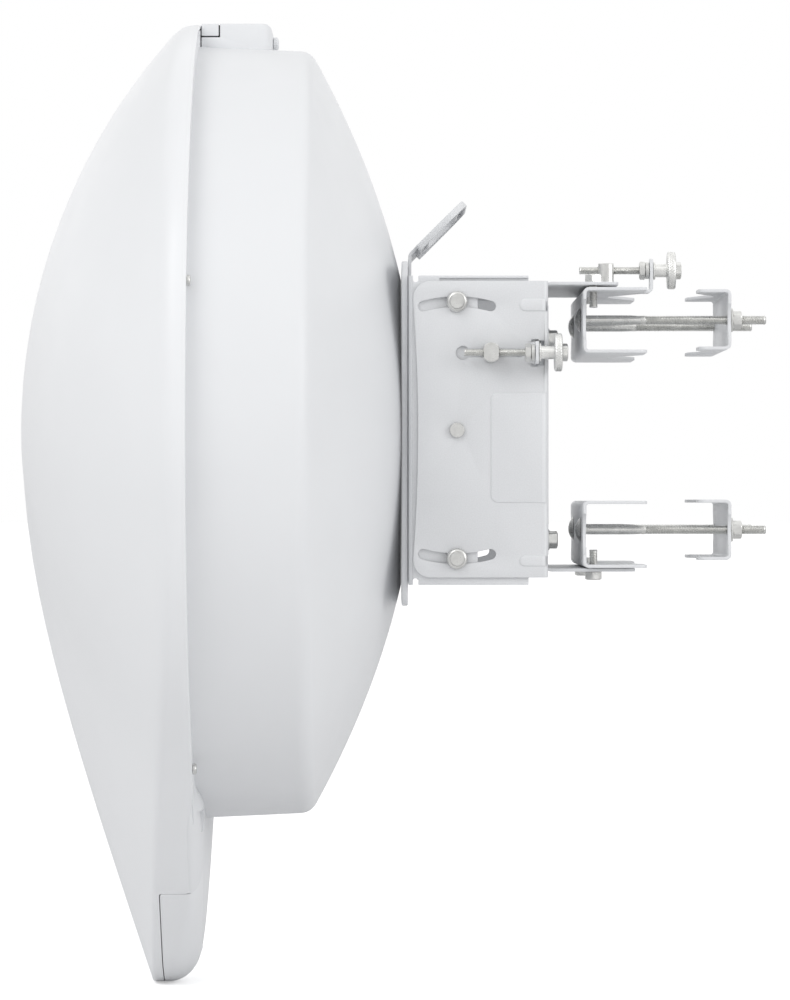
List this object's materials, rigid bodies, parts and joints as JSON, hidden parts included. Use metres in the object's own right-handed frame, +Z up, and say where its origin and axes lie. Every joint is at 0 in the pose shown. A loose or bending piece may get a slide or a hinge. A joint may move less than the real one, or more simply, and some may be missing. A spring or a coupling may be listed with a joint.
{
  "type": "outdoor wireless bridge",
  "caption": "Half-metre dish radio link with a domed radome, rear shell, azimuth and elevation bracket with screw adjusters, and V-jaw clamps for a mast.",
  "frame": {"origin": "mast seat: middle of the flat notch floor in the lower flange of the upper front clamp, where the mast bears", "axes": "+Z up along the mast, +Y from the dish towards the mast, so the dish looks along -Y; +X is the side with the adjuster knobs"},
  "size_m": [0.5267, 0.4777, 0.619],
  "materials": {
    "radome_white": "satin moulded UV-stable plastic",
    "housing_white": "satin moulded plastic",
    "grey_paint": "light grey powder coat on 2 mm sheet steel",
    "zinc_steel": "turned stainless hardware",
    "knob_steel": "bright knurled stainless",
    "aluminium": "spun aluminium",
    "seal_rubber": "black silicone seal",
    "circuit_board": "solder-masked laminate"
  },
  "bodies": {
    "mast_clamps": {"front_clamp_upper": "grey_paint", "front_clamp_lower": "grey_paint", "clamp_rod_upper_left": "zinc_steel", "clamp_rod_upper_right": "zinc_steel", "clamp_rod_lower_left": "zinc_steel", "clamp_rod_lower_right": "zinc_steel", "azimuth_bolt_upper_left": "zinc_steel", "azimuth_bolt_upper_right": "zinc_steel", "azimuth_bolt_lower_left": "zinc_steel", "azimuth_bolt_lower_right": "zinc_steel", "azimuth_pivot_upper": "zinc_steel", "azimuth_pivot_lower": "zinc_steel"},
    "azimuth_bracket": {"outer_bracket": "grey_paint", "upper_arm": "grey_paint", "lower_arm": "grey_paint", "arm_bolt_upper_left": "zinc_steel", "arm_bolt_upper_right": "zinc_steel", "arm_bolt_lower_left": "zinc_steel", "arm_bolt_lower_right": "zinc_steel"},
    "dish": {"dish_plate": "grey_paint", "inner_bracket": "grey_paint", "elevation_bolt_upper_left": "zinc_steel", "elevation_bolt_upper_right": "zinc_steel", "elevation_bolt_lower_left": "zinc_steel", "elevation_bolt_lower_right": "zinc_steel", "elevation_pivot_left": "zinc_steel", "elevation_pivot_right": "zinc_steel", "rear_shell": "housing_white", "radome": "radome_white", "rim_seal": "seal_rubber", "reflector": "aluminium", "feed_tube": "aluminium", "subreflector": "housing_white", "radio_board": "circuit_board", "heat_spreader": "aluminium", "port_board": "circuit_board", "network_jack": "zinc_steel", "fibre_cage": "zinc_steel", "radome_screw_upper_left": "zinc_steel", "radome_screw_upper_right": "zinc_steel", "radome_screw_lower_left": "zinc_steel", "radome_screw_lower_right": "zinc_steel", "top_pod": "housing_white", "pod_cap": "housing_white"},
    "elevation_drive": {"elevation_screw": "zinc_steel", "elevation_collar_nut": "zinc_steel", "elevation_knob": "knob_steel"},
    "elevation_nut": {"elevation_trunnion": "zinc_steel"},
    "azimuth_drive": {"azimuth_screw": "zinc_steel", "azimuth_collar_nut": "zinc_steel", "azimuth_knob": "knob_steel"},
    "azimuth_nut": {"azimuth_trunnion": "zinc_steel"},
    "rear_jaw_upper": {"rear_clamp_upper": "grey_paint", "clamp_nut_upper_left": "zinc_steel", "clamp_nut_upper_right": "zinc_steel"},
    "rear_jaw_lower": {"rear_clamp_lower": "grey_paint", "clamp_nut_lower_left": "zinc_steel", "clamp_nut_lower_right": "zinc_steel"},
    "port_cover": {"port_cover": "radome_white"},
    "pod_screw": {"pod_screw": "housing_white"}
  },
  "joints": [
    {"name": "azimuth", "type": "hinge", "parent": "mast_clamps", "child": "azimuth_bracket", "pos_m": [0, -0.013, -0.0496], "axis": [0, 0, 1], "range_deg": [-7, 7]},
    {"name": "elevation", "type": "hinge", "parent": "azimuth_bracket", "child": "dish", "pos_m": [0, -0.0994, -0.0496], "axis": [1, 0, 0], "range_deg": [-10, 10]},
    {"name": "azimuth_screw_spin", "type": "hinge", "parent": "mast_clamps", "child": "azimuth_drive", "pos_m": [0.06, 0.03, 0.0527], "axis": [0, 1, 0], "range_deg": [-3400, 3400]},
    {"name": "azimuth_nut_slide", "type": "slide", "parent": "mast_clamps", "child": "azimuth_nut", "axis": [0, 1, 0], "range_m": [-0.0075, 0.0075]},
    {"name": "elevation_screw_spin", "type": "hinge", "parent": "azimuth_bracket", "child": "elevation_drive", "pos_m": [0.12, -0.043, -0.0012], "axis": [0, 1, 0], "range_deg": [-4700, 4700]},
    {"name": "elevation_nut_slide", "type": "slide", "parent": "azimuth_bracket", "child": "elevation_nut", "axis": [0, 1, 0], "range_m": [-0.0105, 0.0105]},
    {"name": "rear_jaw_upper_slide", "type": "slide", "parent": "mast_clamps", "child": "rear_jaw_upper", "axis": [0, 1, 0], "range_m": [-0.027, 0.014]},
    {"name": "rear_jaw_lower_slide", "type": "slide", "parent": "mast_clamps", "child": "rear_jaw_lower", "axis": [0, 1, 0], "range_m": [-0.027, 0.014]},
    {"name": "port_cover_slide", "type": "slide", "parent": "dish", "child": "port_cover", "axis": [0, 0, -1], "range_m": [0, 0.05]},
    {"name": "pod_screw_spin", "type": "hinge", "parent": "dish", "child": "pod_screw", "pos_m": [0, -0.218, 0.2026], "axis": [0, 1, 0], "continuous": true}
  ],
  "couplings": [
    {"joint": "azimuth_screw_spin", "follows": "azimuth", "ratio": -471.24},
    {"joint": "azimuth_nut_slide", "follows": "azimuth", "m_per_rad": 0.06},
    {"joint": "elevation_screw_spin", "follows": "elevation", "ratio": 459.46},
    {"joint": "elevation_nut_slide", "follows": "elevation", "m_per_rad": -0.0585}
  ]
}
